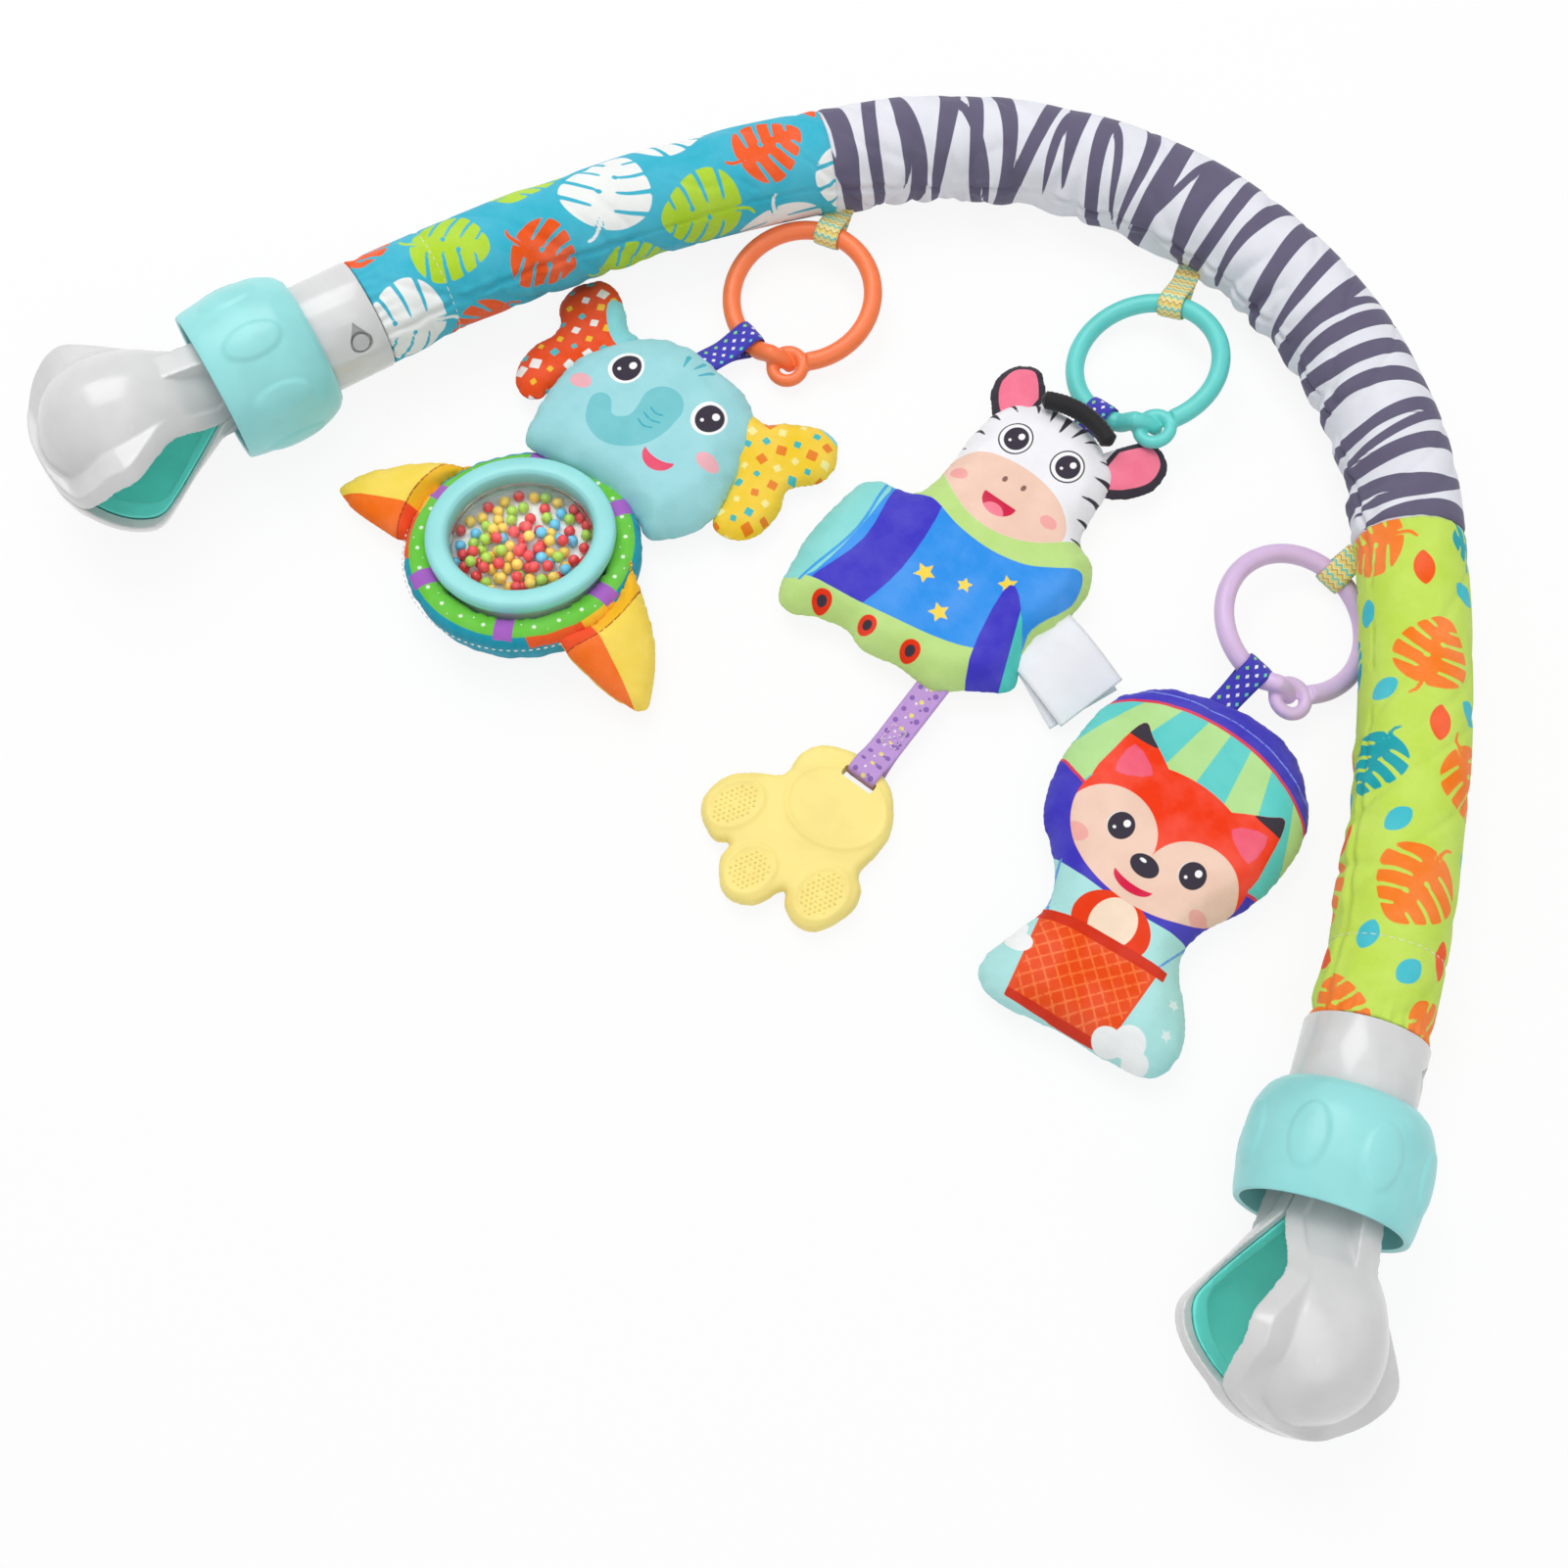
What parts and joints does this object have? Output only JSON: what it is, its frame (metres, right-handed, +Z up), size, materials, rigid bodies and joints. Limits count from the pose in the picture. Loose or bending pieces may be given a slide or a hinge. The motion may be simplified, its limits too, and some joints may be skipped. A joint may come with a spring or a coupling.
{
  "type": "stroller arch toy",
  "caption": "Bendable padded arch with a screw clamp at each foot, link rings, and hanging cushion toys, a rattle and a teether.",
  "frame": {"origin": "on the floor under the middle of the whole toy's box, as it lies flat", "axes": "+Y from the feet to the crown of the arch, +X to the right foot, +Z up from the floor it lies on"},
  "size_m": [0.6041, 0.4029, 0.0674],
  "materials": {
    "teal_fabric": "printed, matte",
    "zebra_fabric": "printed, matte",
    "lime_fabric": "printed, matte",
    "foam": "soft, matte",
    "core_plastic": "plain",
    "grey_plastic": "glossy",
    "aqua_plastic": "satin",
    "teal_rubber": "soft, matte",
    "steel": "zinc plated",
    "orange_plastic": "satin",
    "lilac_plastic": "satin",
    "zigzag_ribbon": "woven pattern",
    "blue_ribbon": "woven pattern",
    "purple_ribbon": "dotted satin",
    "elephant_fabric": "short pile",
    "ear_fabric": "printed, matte",
    "star_fabric": "printed, matte",
    "wing_fabric": "printed, matte",
    "white_plastic": "plain",
    "bead_plastic": "glossy",
    "clear_plastic": "clear",
    "zebra_print": "printed, matte",
    "zebra_ear_fabric": "soft, matte",
    "black_fabric": "short pile",
    "label_fabric": "plain satin",
    "teether_rubber": "satin",
    "fox_print": "printed, matte"
  },
  "bodies": {
    "arch": {"sleeve_teal_top": "teal_fabric", "sleeve_zebra": "zebra_fabric", "sleeve_lime_top": "lime_fabric", "foam_middle": "foam", "core_middle": "core_plastic", "hang_loop_left": "zigzag_ribbon", "hang_loop_middle": "zigzag_ribbon", "hang_loop_right": "zigzag_ribbon"},
    "left_arm": {"sleeve_teal": "teal_fabric", "foam_left": "foam", "core_left": "core_plastic", "collar_left": "grey_plastic", "collar_screw_left": "steel"},
    "right_arm": {"sleeve_lime": "lime_fabric", "foam_right": "foam", "core_right": "core_plastic", "collar_right": "grey_plastic", "collar_screw_right": "steel"},
    "left_clamp": {"clamp_hub_left": "grey_plastic", "jaw_pin_left": "steel"},
    "right_clamp": {"clamp_hub_right": "grey_plastic", "jaw_pin_right": "steel"},
    "left_lock_ring": {"lock_ring_left": "aqua_plastic"},
    "right_lock_ring": {"lock_ring_right": "aqua_plastic"},
    "left_jaw_upper": {"jaw_upper_left": "grey_plastic", "jaw_pad_upper_left": "teal_rubber"},
    "left_jaw_lower": {"jaw_lower_left": "grey_plastic", "jaw_pad_lower_left": "teal_rubber"},
    "right_jaw_upper": {"jaw_upper_right": "grey_plastic", "jaw_pad_upper_right": "teal_rubber"},
    "right_jaw_lower": {"jaw_lower_right": "grey_plastic", "jaw_pad_lower_right": "teal_rubber"},
    "orange_ring": {"ring_orange": "orange_plastic"},
    "aqua_ring": {"ring_aqua": "aqua_plastic"},
    "lilac_ring": {"ring_lilac": "lilac_plastic"},
    "elephant": {"elephant_ribbon": "blue_ribbon", "elephant_head": "elephant_fabric", "elephant_ear_left": "ear_fabric", "elephant_ear_right": "ear_fabric", "star_body": "star_fabric", "star_wing_left": "wing_fabric", "star_wing_right": "wing_fabric", "rattle_rim": "aqua_plastic", "rattle_dome": "clear_plastic", "rattle_tray": "white_plastic", "rattle_beads": "bead_plastic"},
    "zebra": {"zebra_ribbon": "blue_ribbon", "zebra_cushion": "zebra_print", "zebra_ear_left": "zebra_ear_fabric", "zebra_ear_right": "zebra_ear_fabric", "zebra_mane": "black_fabric", "care_label": "label_fabric"},
    "teether": {"teether_ribbon": "purple_ribbon", "teether": "teether_rubber"},
    "fox": {"fox_ribbon": "blue_ribbon", "fox_cushion": "fox_print"}
  },
  "joints": [
    {"name": "left_arm_flex", "type": "hinge", "parent": "arch", "child": "left_arm", "pos_m": [-0.1729, 0.0493, 0.02586], "axis": [0, 0.0379, 0.9993], "range_deg": [-15, 2]},
    {"name": "left_clamp_swivel", "type": "hinge", "parent": "left_arm", "child": "left_clamp", "pos_m": [-0.22908, -0.06427, 0.03017], "axis": [-0.3567, -0.9335, 0.0354], "range_deg": [-90, 90]},
    {"name": "left_lock_turn", "type": "hinge", "parent": "left_clamp", "child": "left_lock_ring", "pos_m": [-0.22908, -0.06427, 0.03017], "axis": [-0.3567, -0.9335, 0.0354], "range_deg": [0, 90]},
    {"name": "left_jaw_upper_open", "type": "hinge", "parent": "left_clamp", "child": "left_jaw_upper", "pos_m": [-0.24496, -0.10581, 0.03174], "axis": [-0.9307, 0.3518, -0.1006], "range_deg": [0, 8]},
    {"name": "left_jaw_lower_open", "type": "hinge", "parent": "left_clamp", "child": "left_jaw_lower", "pos_m": [-0.24496, -0.10581, 0.03174], "axis": [0.9307, -0.3518, 0.1006], "range_deg": [0, 8]},
    {"name": "right_arm_flex", "type": "hinge", "parent": "arch", "child": "right_arm", "pos_m": [0.18387, 0.04713, 0.02594], "axis": [0, 0.0379, 0.9993], "range_deg": [-5, 15]},
    {"name": "right_clamp_swivel", "type": "hinge", "parent": "right_arm", "child": "right_clamp", "pos_m": [0.23489, -0.06884, 0.03034], "axis": [0.3067, -0.9511, 0.0361], "range_deg": [-90, 90]},
    {"name": "right_lock_turn", "type": "hinge", "parent": "right_clamp", "child": "right_lock_ring", "pos_m": [0.23489, -0.06884, 0.03034], "axis": [0.3067, -0.9511, 0.0361], "range_deg": [0, 90]},
    {"name": "right_jaw_upper_open", "type": "hinge", "parent": "right_clamp", "child": "right_jaw_upper", "pos_m": [0.24854, -0.11117, 0.03195], "axis": [-0.77, -0.2257, 0.5968], "range_deg": [0, 8]},
    {"name": "right_jaw_lower_open", "type": "hinge", "parent": "right_clamp", "child": "right_jaw_lower", "pos_m": [0.24854, -0.11117, 0.03195], "axis": [0.77, 0.2257, -0.5968], "range_deg": [0, 8]},
    {"name": "orange_ring_swing", "type": "hinge", "parent": "arch", "child": "orange_ring", "pos_m": [-0.11405, 0.0844, 0.01498], "axis": [-0.9693, -0.2384, -0.06], "range_deg": [-60, 0]},
    {"name": "aqua_ring_swing", "type": "hinge", "parent": "arch", "child": "aqua_ring", "pos_m": [0.0154, 0.14359, 0.01332], "axis": [-0.939, -0.2101, -0.2722], "range_deg": [-60, 60]},
    {"name": "lilac_ring_swing", "type": "hinge", "parent": "arch", "child": "lilac_ring", "pos_m": [0.13141, 0.08511, 0.00703], "axis": [-0.9787, 0.0713, 0.1926], "range_deg": [-60, 2]},
    {"name": "elephant_swing", "type": "hinge", "parent": "orange_ring", "child": "elephant", "pos_m": [-0.11386, 0.02909, 0.0057], "axis": [-0.9709, 0.2385, 0.02], "range_deg": [-60, 2]},
    {"name": "zebra_swing", "type": "hinge", "parent": "aqua_ring", "child": "zebra", "pos_m": [0.01968, 0.08693, 0.00837], "axis": [-0.9633, 0.1115, -0.2441], "range_deg": [-25, 40]},
    {"name": "fox_swing", "type": "hinge", "parent": "lilac_ring", "child": "fox", "pos_m": [0.12882, 0.02788, 0.01464], "axis": [-0.9788, 0.0684, 0.193], "range_deg": [-60, 20]},
    {"name": "teether_swing", "type": "hinge", "parent": "zebra", "child": "teether", "pos_m": [0.03618, -0.05279, 0.00909], "axis": [-1, 0, 0], "range_deg": [-30, 30]}
  ],
  "couplings": [
    {"joint": "left_jaw_upper_open", "follows": "left_lock_turn", "ratio": 0.0885},
    {"joint": "left_jaw_lower_open", "follows": "left_lock_turn", "ratio": 0.0885},
    {"joint": "right_jaw_upper_open", "follows": "right_lock_turn", "ratio": 0.0885},
    {"joint": "right_jaw_lower_open", "follows": "right_lock_turn", "ratio": 0.0885}
  ]
}
